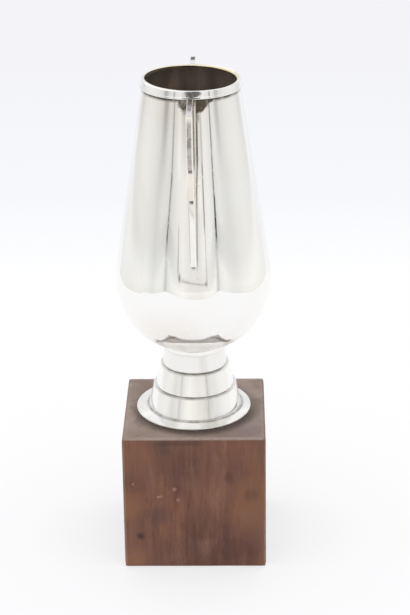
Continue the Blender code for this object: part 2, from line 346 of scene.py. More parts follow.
studio = {
    "skyStrength": 1.06,
    "floorSize": 14.0,
    "floorDrop": 0.0001,
    "floorColour": (0.36, 0.36, 0.36),
    "wallHeight": 1.0,
    "wallTint": (1.0, 1.0, 0.976),
    "creamTint": (1.0, 0.984, 0.938),
    "coolTint": (0.99, 1.0, 1.025),
    "oliveTint": (1.0, 0.91, 0.62),
    "creamWidths": (30.0, 12.0),
    "coolWidths": (112.0, 142.0),
    "oliveTones": (0.6, 0.1),
    "leastTone": 0.02,
    "softEdge": 0.006,
    "hemHeight": 0.009,
    "hemShade": 0.14,
    "kneeHeights": (0.11, 0.08),
    "kneeGlow": 0.11,
    "lowHeights": (0.08, 0.04),
    "lowGlow": 0.08,
}

# The floor's own glow along X, from far behind the cup to its axis, and the same from there on
floorGlows = [
    (-1.0, (0.525, 0.518, 0.555)), (-0.72, (0.533, 0.542, 0.576)), (-0.63, (0.542, 0.55, 0.585)),
    (-0.51, (0.55, 0.559, 0.593)), (-0.4, (0.6, 0.604, 0.622)), (-0.34, (0.624, 0.624, 0.626)),
    (-0.1, (0.624, 0.624, 0.626)), (-0.02, (0.618, 0.618, 0.632)),
]

# The cloth's corners and the places between them where it sags inwards, seen from above
wallPlan = [
    (-1.6, -0.62), (-0.8, -0.46), (-0.19, -0.39), (0.12, -0.465), (0.37, -0.54), (0.66, -0.65),
    (0.9, -0.72),
    (0.83, -0.51), (0.75, -0.36), (0.64, -0.23), (0.57, -0.12), (0.54, 0.0), (0.52, 0.12), (0.55, 0.215),
    (0.61, 0.3), (0.72, 0.42), (0.9, 0.62), (1.04, 0.8),
    (0.77, 0.69), (0.56, 0.62), (0.31, 0.53), (0.14, 0.462), (-0.05, 0.41), (-0.22, 0.42), (-0.8, 0.5),
    (-1.6, 0.65),
]

# Brightness round the wall, by azimuth in degrees from the camera side
wallTones = [
    (-180, 0.88), (-155, 0.87), (-143, 0.85), (-132, 0.78), (-118, 0.81), (-85, 0.845), (-75, 0.82),
    (-66, 0.76), (-59, 0.69), (-51, 0.76), (-43, 0.76), (-36, 0.7), (-28, 0.79), (-21, 0.85), (-14, 0.9),
    (-5, 0.83), (10, 0.81), (18, 0.86), (27, 0.87), (34, 0.79), (42, 0.76), (47, 0.81), (54, 0.76),
    (60, 0.74), (66, 0.75), (76, 0.82), (92, 0.86), (110, 0.84), (128, 0.8), (143, 0.86), (180, 0.89),
]

# Shades of folds painted into the wall's glow, showing only above some height: azimuth, half width, depth,
# where they start and are full
wallFolds = [
    (-53, 10, 0.3, 0.14, 0.24), (-35.4, 2.8, 0.3, 0.15, 0.19), (56, 9, 0.24, 0.16, 0.24),
    (-12, 12, 0.26, 0.18, 0.25), (8, 7, 0.14, 0.15, 0.22), (19, 5, 0.18, 0.19, 0.215),
    (-150, 20, 0.12, 0.17, 0.24), (-125, 9, 0.07, 0.12, 0.16), (125, 16, 0.07, 0.12, 0.16),
]

# Lighter places: azimuth, half width, lowest and highest point, and how much lighter
wallLights = [
    (-7, 5, 0.183, 0.207, 0.1), (13.5, 4.5, 0.172, 0.195, 0.12), (-22, 6, 0.19, 0.26, 0.07),
    (17, 7, 0.125, 0.155, 0.06), (-98, 24, 0.118, 0.24, 0.035),
]

# Seams, slits and wide faint shades painted into the glow: azimuth at the floor, lean per metre, half
# width, depth, lowest and highest point
wallSeams = [
    (-148, 0, 22, 0.055, 0.055, 0.2),
    (-38, 0, 23, 0.1, 0.087, 0.126),
    (38, 0, 25, 0.105, 0.087, 0.126),
    (-95, 0, 34, 0.055, 0, 0.145),
    (-39.6, 0, 4.2, 0.22, 0, 0.098),
    (-39.6, 0, 2.2, 0.54, 0.098, 0.11),
    (-45.1, 54, 2.2, 0.4, 0.11, 0.15),
    (-45.1, 54, 2.2, 0.38, 0.15, 0.176),
    (35.4, 21, 4.2, 0.28, 0, 0.098),
    (36, 21, 2.3, 0.78, 0.098, 0.15),
    (35.4, 21, 2.3, 0.54, 0.15, 0.4),
    (19.7, 0, 1.9, 0.58, 0.155, 0.205),
    (20, 0, 1.8, 0.16, 0.205, 0.24),
    (19.9, 0, 1.5, 0.28, 0.108, 0.155),
    (-21, 0, 1.8, 0.34, 0.106, 0.15),
    (2.6, 40, 3, 0.72, 0.207, 0.4),
    (-14.6, 124, 2.4, 0.5, 0.185, 0.207),
    (2.9, 30, 2.4, 0.42, 0.131, 0.185),
    (5.2, 0, 2.4, 0.58, 0.204, 0.4),
]

# The foot of an opening in the cloth is a thin dark line painted into the glow, seen at one slope from the
# height of the eye.
opening = {
    "eyeHeight": 0.153,
    "halfWidth": 20.0,
    "foot": -0.066,
    "slant": 0.0002,
    "droop": 0.0000114,
    "lineHeight": 0.0036,
    "lineShade": 0.4,
    "cornerInset": 1.6,
    "cornerWidth": 2.4,
    "cornerLift": 0.0015,
    "cornerHeight": 2.4,
    "cornerShade": 0.7,
}

# A dark patch painted into the glow higher up, narrow at its foot.
darkGlowPatch = {
    "left": -17.0,
    "right": 20.0,
    "foot": 0.247,
    "full": 0.29,
    "top": 0.36,
    "footShare": 0.45,
    "depth": 0.72,
}


def makeSky():
    world = bpy.data.worlds.new("whiteSky")
    world.use_nodes = True
    sky = world.node_tree.nodes["Background"]
    sky.inputs["Color"].default_value = (1.0, 1.0, 1.0, 1.0)
    sky.inputs["Strength"].default_value = studio["skyStrength"]
    bpy.context.scene.world = world


def makeFloor():
    choose()
    bpy.ops.mesh.primitive_plane_add(size=studio["floorSize"], location=(0, 0, -studio["floorDrop"]))
    floor = bpy.context.object
    floor.name = "studioFloor"
    bpy.ops.object.transform_apply(location=True)
    finish = Finish("paleFloor", specular=0.0)
    x, y, z = finish.axes(finish.place())
    start = floorGlows[0][0]
    glow = finish.ramp(x - start, [(distance - start, colour) for distance, colour in floorGlows])
    finish.shader.inputs["Emission Strength"].default_value = 1.0
    wear(floor, finish.shade(colour=studio["floorColour"], roughness=1.0, glow=glow))


def openingShade(azimuth, x, y, z):
    edge = opening["halfWidth"]
    slope = (z - opening["eyeHeight"]) / acrossOf(x, y) + azimuth * opening["slant"]
    slope = slope + azimuth * azimuth * opening["droop"]
    line = slope.near(opening["foot"], opening["lineHeight"]) * opening["lineShade"]
    line = line * abs(azimuth).ease(edge + 1, edge)
    cornerHeight = opening["lineHeight"] * opening["cornerHeight"]
    corner = abs(azimuth).near(edge - opening["cornerInset"], opening["cornerWidth"])
    corner = corner * slope.near(opening["foot"] + opening["cornerLift"], cornerHeight)
    return line.most(corner * opening["cornerShade"])


def darkPatchShade(azimuth, z):
    left, right, low = darkGlowPatch["left"], darkGlowPatch["right"], darkGlowPatch["foot"]
    reach = (right - left) / 2
    reach = z.ease(low, darkGlowPatch["full"], reach * darkGlowPatch["footShare"], reach)
    card = (abs(azimuth - (left + right) / 2) - reach).ease(2.0, -2.0) * z.ease(low, low + 0.008)
    return card * z.ease(darkGlowPatch["top"] + 0.01, darkGlowPatch["top"]) * darkGlowPatch["depth"]


def wallFinish():
    # The wall's colour is all glow, with tones, fold shades, seams, lights and dark patches painted into
    # it
    finish = Finish("paintedGlowCloth")
    x, y, z = finish.axes(finish.place())
    azimuth = azimuthOf(x, y)
    soft = studio["softEdge"]
    stops = [((angle + 180) / 360, (tone, tone, tone)) for angle, tone in wallTones]
    glow = finish.ramp(azimuth / 360 + 0.5, stops)
    for centre, halfWidth, depth, start, full in wallFolds:
        glow = glow - azimuth.near(centre, halfWidth) * z.ease(start, full) * depth
    for centre, lean, halfWidth, depth, low, high in wallSeams:
        seam = (azimuth - z * lean).near(centre, halfWidth) * depth
        glow = glow - seam * z.between(low, high, soft)
    for centre, halfWidth, low, high, amount in wallLights:
        light = azimuth.near(centre, halfWidth) * amount
        glow = glow + light * z.between(low, high, soft)
    glow = glow - openingShade(azimuth, x, y, z) - darkPatchShade(azimuth, z)
    glow = glow + z.ease(*studio["kneeHeights"]) * studio["kneeGlow"]
    glow = glow - z.ease(*studio["lowHeights"]) * (studio["kneeGlow"] - studio["lowGlow"])
    glow = glow - z.ease(studio["hemHeight"], 0.0) * studio["hemShade"]
    cream = abs(azimuth).ease(*studio["creamWidths"])
    cool = abs(azimuth).ease(*studio["coolWidths"])
    olive = cream * glow.ease(*studio["oliveTones"])
    tint = finish.mixed(cream, studio["wallTint"], studio["creamTint"])
    tint = finish.mixed(cool, tint, studio["coolTint"])
    tint = finish.mixed(olive, tint, studio["oliveTint"])
    colour = finish.mixed(glow.most(studio["leastTone"]), (0, 0, 0), tint)
    finish.shader.inputs["Emission Strength"].default_value = 1.0
    return finish.shade(colour=(0, 0, 0), glow=colour, roughness=1.0)


def makeWall():
    # The plan is drawn on the floor, closed and raised; its top and bottom stay open.
    wall = drawLine("studioWall", [(x, 0.0) for x, y in wallPlan])
    editing(False)
    for vertex, (x, y) in zip(wall.data.vertices, wallPlan):
        vertex.co = (x, y, 0.0)
    closeLine(wall)
    takeAll()
    extrude((0, 0, studio["wallHeight"]))
    editing(False)
    wear(wall, wallFinish())
    wall.visible_camera = False
    wall.visible_diffuse = False
    wall.visible_shadow = False


# Silver

silver = {
    "bright": (0.955, 0.95, 0.938),
    "warm": (0.945, 0.93, 0.905),
    "haze": (0.84, 0.77, 0.68),
    # The dark colour serves both tarnished places and painted shade and reflections
    "tarnish": (0.085, 0.068, 0.06),
    "roughness": 0.015,
    "wipe": 0.03,
    "tarnishAndShadeRoughness": 0.35,
    "tarnishAndShadeDulling": 0.3,
    "scratchRoughness": 0.05,
    "scratchDepth": 0.00002,
    "scratchStrength": 0.25,
    "swell": 0.0003,
}


def silverFinish(name, looks, haze=silver["haze"], tarnish=silver["tarnish"]):
    # The piece's own looks are masks: dark for tarnished places and for painted shade and reflections,
    # yellow haze, blur, a milky bloom and a swell.
    finish = Finish(name, metallic=1.0)
    place = finish.place()
    masks = looks(finish, place, *finish.axes(place))
    tone = finish.cloud(place, 28, 2).ease(0.35, 0.75)
    colour = finish.mixed(tone, silver["bright"], silver["warm"])
    if "haze" in masks:
        colour = finish.mixed(masks["haze"], colour, haze)
    patch = finish.cloud(place, 190, 4, 0.6).ease(0.35, 0.65, 0.9, 1.5)
    # Tarnished places, painted shade and painted reflections all darken the colour here
    grimeAndShade = (masks["tarnish"] * patch).least(1.0)
    colour = finish.mixed(grimeAndShade, colour, tarnish)
    wipe = finish.cloud(finish.mapped(place, scale=(1, 1, 0.25), turn=(12, 0, 0)), 120, 3)
    hairs = finish.cloud(finish.mapped(place, scale=(12, 1, 1), turn=(25, 40, 10)), 260, 2)
    crossed = finish.cloud(finish.mapped(place, scale=(1, 14, 1), turn=(-30, 15, 60)), 240, 2)
    scratches = hairs.most(crossed).ease(0.64, 0.76)
    roughness = silver["roughness"] + wipe * silver["wipe"] + scratches * silver["scratchRoughness"]
    roughness = roughness + grimeAndShade * silver["tarnishAndShadeRoughness"]
    if "blur" in masks:
        roughness = roughness + masks["blur"]
    normal = finish.bump(scratches, -silver["scratchDepth"], silver["scratchStrength"])
    if "swell" in masks:
        finish.feed(normal.socket.node, {"Normal": finish.bump(masks["swell"], silver["swell"])})
    metallic = 1.0 - grimeAndShade * silver["tarnishAndShadeDulling"]
    if "bloom" in masks:
        metallic = metallic - masks["bloom"]
    return finish.shade(colour=colour, roughness=roughness, metallic=metallic, normal=normal)


def creases(*rings, haze=None, blur=0.0):
    # Painted shade and tarnished places in the joints, along circles each given by its height, reach and
    # strength. It is faint at both sides.
    def looks(finish, place, x, y, z):
        ring = highest(z.near(height, reach) * strength for height, reach, strength in rings)
        masks = {"tarnish": ring * abs(x).ease(0.002, 0.018, 0.15, 1.0), "blur": blur}
        if haze:
            masks["haze"] = haze(finish, place, x, y, z)
        return masks
    return looks


print("kits ready")
makeCamera()
makeSky()
makeFloor()
makeWall()
print("camera and studio ready")


# Cup body: the bowl and its tapering side in one sheet

cup = {
    "bowlRadius": 0.03844,
    "bowlCentre": 0.14322,
    "taper": 9.19,
    "sheet": 0.0008,
    "edgeHeight": 0.24212,
    "fullness": 0.0008,
    "bowlSteps": 44,
    "sideSteps": 22,
    "insideSteps": 30,
    "turnSteps": 176,
    "ripple": 0.000018,
    "ripplesPerMetre": 42,
    # The cup's dark colour, for tarnished places and for painted shade and reflections
    "tarnish": (0.098, 0.082, 0.058),
    "insideDark": (0.35, 0.285, 0.225),
    "insideLight": (0.54, 0.435, 0.35),
    "insideEdge": (0.05, 0.035, 0.025),
}

# Each dent is an azimuth, a height, a radius and a depth
cupDents = [
    (-17, 0.1335, 0.0032, 0.00005), (-3, 0.129, 0.0028, 0.00005), (6, 0.1318, 0.0024, 0.00004),
    (-9, 0.1362, 0.0022, 0.00003), (24, 0.13, 0.003, 0.00004), (-64, 0.158, 0.0034, 0.00003),
    (128, 0.142, 0.0032, 0.00005), (171, 0.175, 0.004, 0.00004), (-140, 0.13, 0.0028, 0.00004),
]


def sideRadius(height, offset=0.0):
    taper = math.radians(cup["taper"])
    return (cup["bowlRadius"] + offset - (height - cup["bowlCentre"]) * math.sin(taper)) / math.cos(taper)


def bowlReach(degrees, offset=0.0):
    # The lower bowl is a little fuller than a ball, most of all halfway down.
    share = max(0.0, min(1.0, (-degrees - 10) / 70))
    return cup["bowlRadius"] + offset + cup["fullness"] * math.sin(math.pi * share) ** 2


def bowlPoints(offset, start, end, steps):
    points = []
    for i in range(steps + 1):
        degrees = start + (end - start) * i / steps
        angle = math.radians(degrees)
        reach = bowlReach(degrees, offset)
        points.append((reach * math.cos(angle), cup["bowlCentre"] + reach * math.sin(angle)))
    return points


def cupOutline():
    edge = cup["edgeHeight"]
    outside = bowlPoints(0.0, -90, cup["taper"], cup["bowlSteps"])
    start, steps = outside[-1][1], cup["sideSteps"]
    heights = [start + (edge - start) * i / steps for i in range(1, steps + 1)]
    side = [(sideRadius(height), height) for height in heights]
    inside = [(sideRadius(height, -cup["sheet"]), height) for height in (edge, (edge + start) / 2)]
    inside += bowlPoints(-cup["sheet"], cup["taper"], -90, cup["insideSteps"])
    outline = outside + side + inside
    outline[0] = (0.0, outline[0][1])
    outline[-1] = (0.0, outline[-1][1])
    return outline


def workSheet(piece):
    # Hand work: a faint ripple all over the sheet and a few shallow dents.
    dents = []
    for azimuth, height, radius, depth in cupDents:
        angle = math.radians(azimuth)
        if height > cup["bowlCentre"]:
            across = sideRadius(height)
        else:
            across = math.sqrt(cup["bowlRadius"] ** 2 - (height - cup["bowlCentre"]) ** 2)
        dents.append((Vector((across * math.cos(angle), across * math.sin(angle), height)), radius, depth))
    for vertex in piece.data.vertices:
        place = vertex.co.copy()
        outward = Vector((place.x, place.y, 0.0))
        if outward.length < 1e-5:
            continue
        move = cup["ripple"] * noise.noise(place * cup["ripplesPerMetre"])
        for centre, radius, depth in dents:
            gap = (place - centre).length / radius
            if gap < 3.0:
                move -= depth * math.exp(-gap * gap)
        vertex.co = place + outward.normalized() * move


# Where the cup is darkened by painted shade, painted reflections and tarnished places: heights, and the
# smears beside the handles' arms with their width and taper
cupShadesAndStains = {
    "bandFoot": 0.2395,
    "bandLine": 0.2392,
    "leftWidth": 0.0066,
    "leftTaper": 0.48,
    "leftStrength": 0.88,
    "rightWidth": 0.012,
    "rightTaper": 1.2,
    "rightLeast": 0.0036,
    "rightStrength": 1.3,
    "heelAcross": 0.0009,
    "heelHeight": 0.1612,
    "smokeHeights": (0.205, 0.24),
    "smokeStrength": 0.55,
    "blushPlace": (0.03, -0.01, 0.122),
    "blushReach": 0.024,
    "blushStrength": 0.4,
    "underHeights": (0.1198, 0.1182),
    "ringMiddle": 0.1212,
    "ringSide": 0.1228,
    "ringDrop": 0.005,
}


def cupLooks(finish, place, x, y, z):
    # Painted shade under the band and under the handles' feet, painted dark reflections beside the arms
    # and of the block round the bowl's foot, with tarnished places
    shadesAndStains = cupShadesAndStains
    # Painted dark reflections of the arms and straps on the cup beside them, partly tarnished
    drop = (shadesAndStains["bandFoot"] - z).most(0.0)
    patchy = finish.cloud(place, 420, 3) - 0.5
    left = shadesAndStains["leftWidth"] - drop * shadesAndStains["leftTaper"] + patchy * 0.004
    left = (y * -1.0 - left).ease(0.0012, -0.0012) * y.ease(-0.0008, -0.0016)
    left = left * drop.ease(0.0088, 0.0032) * shadesAndStains["leftStrength"]
    right = (shadesAndStains["rightWidth"] - drop * shadesAndStains["rightTaper"]).most(shadesAndStains["rightLeast"])
    right = (y - right - patchy * 0.003).ease(0.0012, -0.0012) * y.ease(0.0024, 0.003)
    right = right * drop.ease(0.012, 0.0056) * shadesAndStains["rightStrength"]
    streaky = finish.cloud(finish.mapped(place, scale=(1, 1, 0.2)), 700, 3)
    arms = left.most(right) * streaky.ease(0.25, 0.6, 0.7, 0.94)
    # Painted shade on the cup under the foot of each strap
    heel = y.near(shadesAndStains["heelAcross"], 0.0016) * z.near(shadesAndStains["heelHeight"], 0.0019)
    side = abs(x).ease(0.012, 0.018)
    # Painted shade along the foot of the band, partly tarnished
    band = z.near(shadesAndStains["bandLine"], 0.0021)
    band = band * finish.cloud(place, 70, 2).ease(0.25, 0.6, 0.66, 0.9)
    # A painted dark reflection of the block on the front of the lower bowl
    ring = abs(y).ease(0.004, 0.009, shadesAndStains["ringMiddle"], shadesAndStains["ringSide"])
    ring = ring - abs(y).ease(0.01, 0.0168, 0.0, shadesAndStains["ringDrop"])
    ring = (z - ring).near(0.0, 0.0018) * abs(y).ease(0.002, 0.01, 0.28, 0.62)
    ring = ring * x.ease(0.0, 0.01) * abs(y).ease(0.0192, 0.0172)
    smoke = z.ease(*shadesAndStains["smokeHeights"]) * y.ease(0.014, -0.004, 0.3, 1.0)
    smoke = smoke * finish.cloud(place, 55, 3).ease(0.25, 0.7) * shadesAndStains["smokeStrength"]
    blush = finish.distance(place, shadesAndStains["blushPlace"]).ease(shadesAndStains["blushReach"], 0.004)
    under = z.ease(*shadesAndStains["underHeights"])
    bloom = z.ease(0.1285, 0.1245) * abs(y).ease(0.008, 0.017, 0.42, 0.22)
    return {
        "tarnish": highest([band, arms * side, heel * side, ring]),
        "haze": highest([smoke, blush * shadesAndStains["blushStrength"], under * 0.22]),
        "blur": z.ease(0.12, 0.113) * 0.25,
        "bloom": bloom.most(under * 0.9),
        "swell": z.ease(0.1315, 0.1115),
    }


def insideFinish():
    # The inside is dark, paler in upright stripes, and painted shade darkens it further under the mouth
    finish = Finish("darkInside", metallic=0.75)
    place = finish.place()
    x, y, z = finish.axes(place)
    streak = finish.cloud(finish.mapped(place, scale=(1, 1, 0.15)), 130, 3)
    pale = streak.ease(0.35, 0.7)
    colour = finish.mixed(pale, cup["insideDark"], cup["insideLight"])
    shade = z.ease(0.232, 0.2425, 0.0, 0.55)
    colour = finish.mixed(shade, colour, cup["insideEdge"])
    return finish.shade(colour=colour, roughness=0.42 + streak * 0.15)


def makeCup():
    piece = spunPiece("cupShell", cupOutline(), closed=False, steps=cup["turnSteps"])
    workSheet(piece)
    dressPiece(piece, silverFinish("cupSilver", cupLooks, tarnish=cup["tarnish"]), "cup_body")
    piece.data.materials.append(insideFinish())
    sideStart = cup["bowlCentre"] + cup["bowlRadius"] * math.sin(math.radians(cup["taper"]))
    for face in piece.data.polygons:
        centre = face.center
        across = math.hypot(centre.x, centre.y)
        if centre.z > sideStart:
            hidden = across < sideRadius(centre.z, -cup["sheet"] / 2)
        else:
            drop = centre.z - cup["bowlCentre"]
            halfway = bowlReach(math.degrees(math.atan2(drop, across)), -cup["sheet"] / 2)
            hidden = math.hypot(across, drop) < halfway
        face.material_index = 1 if hidden else 0
    print("cup body:", len(piece.data.polygons), "faces")


# Rim band: over the edge of the cup, with a bead along its foot

rimBand = {
    "mouth": 0.02186,
    "seat": 0.0003,
    "wall": 0.00075,
    "lip": 0.0008,
    "beadProud": 0.00022,
    "beadHeight": 0.0011,
    "rise": 0.0008,
    "mouthShift": 0.0002,
    "mouthTilt": 0.0006,
    "mouthEase": 0.0009,
    "rootReflectionFoot": 0.0006,
    "rootReflectionHead": 0.0032,
    "rootReflectionStrength": 0.62,
    "gilt": (0.92, 0.81, 0.58),
}


def makeRimBand():
    low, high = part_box("rim_band")
    mouth, ease = rimBand["mouth"], rimBand["mouthEase"]
    seat = rimBand["seat"] * 0.2
    outer = rimBand["seat"] + rimBand["wall"]
    bead = rimBand["beadProud"]
    bottom = low.z + rimBand["rise"]
    beadTop = bottom + rimBand["beadHeight"]
    lipUnder = high.z - rimBand["lip"]
    corners = [
        (mouth, high.z, 0.0004),
        (sideRadius(high.z, outer), high.z, 0.0003),
        (sideRadius(beadTop, outer), beadTop, 0.0001),
        (sideRadius(beadTop, outer) + bead, beadTop - bead, 0.0002),
        (sideRadius(bottom, outer) + bead, bottom, 0.0003),
        (sideRadius(bottom, seat), bottom, 0.0),
        (sideRadius(lipUnder, seat), lipUnder, 0.0),
        (mouth, lipUnder, 0.0002),
    ]
    piece = spunPiece("rimBandSilver", softCorners(corners), steps=cup["turnSteps"])
    for vertex in piece.data.vertices:
        # The mouth lies a trace to the left and dips a trace to the right.
        across = math.hypot(vertex.co.x, vertex.co.y)
        share = max(0.0, min(1.0, (mouth + ease - across) / ease))
        vertex.co.z -= rimBand["mouthTilt"] * share * vertex.co.y / mouth
        vertex.co.y -= rimBand["mouthShift"] * share

    rootReflectionFoot = bottom + rimBand["rootReflectionFoot"]
    rootReflectionHead = bottom + rimBand["rootReflectionHead"]

    def looks(finish, place, x, y, z):
        # Painted shade under the bead and a painted dark reflection of each arm over its root, gilt left
        # at the mouth
        # Painted shade along the foot of the band, under the bead
        under = z.near(bottom, 0.0003) * 0.7
        # A painted dark reflection of the arm over each handle's root
        middle = z.ease(rootReflectionFoot, rootReflectionHead, 0.0005, 0.0025)
        reach = z.ease(rootReflectionFoot, rootReflectionHead, 0.0012, 0.0042)
        reach = reach + (finish.cloud(place, 500, 2) - 0.5) * 0.0016
        root = (abs(y - middle) - reach).ease(0.001, -0.001)
        root = root * z.ease(bottom + 0.0003, bottom + 0.0009)
        root = root * abs(x).ease(0.0232, 0.0236) * rimBand["rootReflectionStrength"]
        gilt = acrossOf(x, y).ease(mouth + 0.0014, mouth + 0.0005)
        gilt = gilt * x.ease(0.012, -0.004, 0.35, 1.0)
        return {"tarnish": under.most(root), "haze": gilt}

    dressPiece(piece, silverFinish("bandSilver", looks, rimBand["gilt"]), "rim_band")
    print("rim band done")


# Foot: three tiers of sheet and the neck ring

foot = {
    "sheet": 0.0012,
    "edge": 0.0004,
    "gap": 0.0001,
    "lip": 0.003,
    "flangeRadius": 0.0289,
    "flangeShift": (0.0005, -0.0008),
    "flangeEdge": 0.0006,
    "flangeThickness": 0.001,
    "flangeBloom": 0.34,
    "fillet": 0.0009,
    "baseHeight": 0.0019,
    "lowerTop": 0.0208,
    "lowerBase": 0.0232,
    "middleTop": 0.0171,
    "middleBase": 0.0196,
    "upperTop": 0.0152,
    "upperBase": 0.0161,
    "upperLip": 0.00755,
    "blur": 0.1,
    "crease": 0.5,
    "cornerShade": 0.44,
    "sideBloom": 0.8,
    "haze": (0.72, 0.7, 0.655),
}

# Painted streaks for reflected stripes, upright, by azimuth, half width and strength, and the painted
# glints on the flange by azimuth and half width
footStreakReflections = [(18, 20, 1.0), (-26, 15, 0.35), (150, 30, 0.6)]
flangeGlints = [(-14, 7), (12, 6), (-33, 6), (38, 5), (-62, 8), (70, 10)]


def paintedStreaks(strength, least=0.0):
    # Soft upright bands of haze, painted where the tiers show reflected stripes.
    def haze(finish, place, x, y, z):
        azimuth = azimuthOf(x, y)
        bandMask = highest(azimuth.near(centre, width) * share for centre, width, share in footStreakReflections)
        fine = finish.cloud(finish.mapped(place, scale=(1, 1, 0.1)), 320, 2)
        return (bandMask * fine.ease(0.3, 0.7, 0.7, 1.0) * strength).most(least)
    return haze


def deckBloom(y, z, radius, top):
    # The flat rim of a tier turns milky towards both sides.
    return (abs(y) - radius * 0.82).ease(-0.0012, 0.0012) * z.ease(top - 0.0006, top - 0.0003)


def makeTier(kind, below, lip, edge, looks):
    sheet, base, top = foot["sheet"], foot[kind + "Base"], foot[kind + "Top"]
    low = below + foot["gap"] / 2
    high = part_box(kind + "_tier")[1].z
    corners = [
        (lip, high, 0.0),
        (top, high, edge),
        (base, low, 0.0001),
        (base - sheet, low, 0.0),
        (top - sheet, high - sheet, 0.0),
        (lip, high - sheet, 0.0),
    ]
    piece = spunPiece(kind + "TierSilver", softCorners(corners))
    dressPiece(piece, silverFinish(kind + "TierFinish", looks, foot["haze"]), kind + "_tier")


def makeFoot():
    sheet, blur, crease = foot["sheet"], foot["blur"], foot["crease"]
    top, base = foot["lowerTop"], foot["lowerBase"]
    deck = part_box("plinth_block")[1].z
    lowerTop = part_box("lower_tier")[1].z
    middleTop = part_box("middle_tier")[1].z
    baseTop = deck + foot["baseHeight"]
    under = deck + foot["gap"]
    flange = foot["flangeRadius"]
    lowerLip = foot["middleBase"] - sheet - foot["lip"]
    middleLip = foot["upperBase"] - sheet - foot["lip"]
    corners = [
        (lowerLip, lowerTop, 0.0),
        (top, lowerTop, foot["edge"]),
        (base, baseTop, foot["fillet"]),
        (flange, deck + foot["flangeThickness"], foot["flangeEdge"]),
        (flange, under, foot["flangeEdge"] / 3),
        (base - sheet, under, 0.0),
        (top - sheet, lowerTop - sheet, 0.0),
        (lowerLip, lowerTop - sheet, 0.0),
    ]
    lower = spunPiece("lowerTierSilver", softCorners(corners, 6))
    for vertex in lower.data.vertices:
        # The flange sits a trace off the axis, as it was soldered.
        across = math.hypot(vertex.co.x, vertex.co.y)
        share = max(0.0, (across - top) / (flange - top))
        vertex.co.x += foot["flangeShift"][0] * share
        vertex.co.y += foot["flangeShift"][1] * share

    def flangeHaze(finish, place, x, y, z):
        azimuth = azimuthOf(x, y)
        # Painted glints: the haze is left off at a few azimuths on the flange
        bright = highest(azimuth.near(centre, halfWidth) for centre, halfWidth in flangeGlints)
        low = z.ease(baseTop + 0.0002, baseTop - 0.0006) * (1.0 - bright)
        low = low * finish.cloud(place, 110, 2).ease(0.3, 0.7, 0.15, 0.45)
        return low.most(paintedStreaks(1.0)(finish, place, x, y, z))

    def lowerLooks(finish, place, x, y, z):
        # Besides the rings, brown tarnished places and painted shade in the corner over the flange, and a
        # milky flange and flanks
        rings = [(deck, 0.0003, 0.4), (lowerTop, 0.0012, crease * 0.85)]
        masks = creases(*rings, haze=flangeHaze, blur=blur)(finish, place, x, y, z)
        radius = acrossOf(x, y)
        corner = radius.near(base + 0.0006, 0.0014) * foot["cornerShade"]
        corner = corner * z.ease(baseTop + 0.0012, baseTop + 0.0004)
        masks["tarnish"] = masks["tarnish"].most(corner)
        flank = (abs(y) - radius * 0.94).ease(-0.0006, 0.0003)
        flank = flank * z.ease(baseTop, baseTop + 0.001)
        flank = flank.most(deckBloom(y, z, radius, lowerTop)) * foot["sideBloom"]
        masks["bloom"] = flank.most(radius.ease(0.0244, 0.0254) * foot["flangeBloom"])
        return masks

    def middleLooks(finish, place, x, y, z):
        rings = [(lowerTop, 0.0006, crease * 0.6), (middleTop, 0.0013, crease * 0.9)]
        masks = creases(*rings, haze=paintedStreaks(0.55), blur=blur)(finish, place, x, y, z)
        masks["bloom"] = deckBloom(y, z, acrossOf(x, y), middleTop) * foot["sideBloom"]
        return masks

    upperLooks = creases((middleTop, 0.00085, crease), haze=paintedStreaks(0.85, 0.3), blur=blur)
    dressPiece(lower, silverFinish("lowerTierFinish", lowerLooks, foot["haze"]), "lower_tier")
    makeTier("middle", lowerTop, middleLip, foot["edge"], middleLooks)
    makeTier("upper", middleTop, foot["upperLip"], foot["edge"] / 2, upperLooks)
    print("foot done")


neck = {
    "radius": 0.01512,
    "inner": 0.01055,
    "edge": 0.0003,
    "drop": 0.0003,
    "seatGap": 0.00005,
    "seatSteps": 8,
    "haze": 0.25,
    "blur": 0.15,
}


def makeNeck():
    low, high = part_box("neck_ring")
    corners = []
    for i in range(neck["seatSteps"] + 1):
        across = neck["inner"] + (neck["radius"] - neck["inner"]) * i / neck["seatSteps"]
        degrees = -math.degrees(math.acos(across / cup["bowlRadius"]))
        height = cup["bowlCentre"] - math.sqrt(bowlReach(degrees, neck["seatGap"]) ** 2 - across**2)
        corners.append((across, height, 0.0))
    corners[-1] = (*corners[-1][:2], neck["edge"])
    base = low.z - neck["drop"]
    corners += [(neck["radius"], base, 0.0), (neck["inner"], base, 0.0)]
    piece = spunPiece("neckRingSilver", softCorners(corners))

    def haze(finish, place, x, y, z):
        return z.ease(low.z, high.z) * neck["haze"]

    looks = creases((high.z, 0.0003, 0.25), (low.z + 0.0002, 0.0006, 0.14), haze=haze, blur=neck["blur"])
    dressPiece(piece, silverFinish("neckFinish", looks), "neck_ring")
    print("neck ring done")


# Handles: one square strap each, in three runs and two steps

strap = {
    "width": 0.003,
    "thick": 0.0026,
    "round": 0.00045,
    "armRoot": 0.0231,
    "footRoot": 0.0352,
    "stepDepth": 0.0049,
    "upperRun": 0.0259,
    "middleRun": 0.0166,
    "lean": 0.0145,
    "leanStart": 0.2237,
    "spots": 0.66,
    "line": 0.34,
    "root": 0.18,
    "end": 0.55,
    "inner": 0.5,
}


def strapSteps(high):
    upper = high - strap["upperRun"]
    return upper, upper - strap["middleRun"]


def strapOutline(low, high, reach):
    thick = strap["thick"]
    middleReach = reach - strap["stepDepth"]
    lowerReach = middleReach - strap["stepDepth"]
    upper, lower = strapSteps(high)
    arm, heel = strap["armRoot"], strap["footRoot"]
    return [
        (arm, high), (reach, high), (reach, upper), (middleReach, upper), (middleReach, lower),
        (lowerReach, lower), (lowerReach, low), (heel, low),
        (heel, low + thick), (lowerReach - thick, low + thick), (lowerReach - thick, lower + thick),
        (middleReach - thick, lower + thick), (middleReach - thick, upper + thick),
        (reach - thick, upper + thick), (reach - thick, high - thick), (arm, high - thick),
    ]


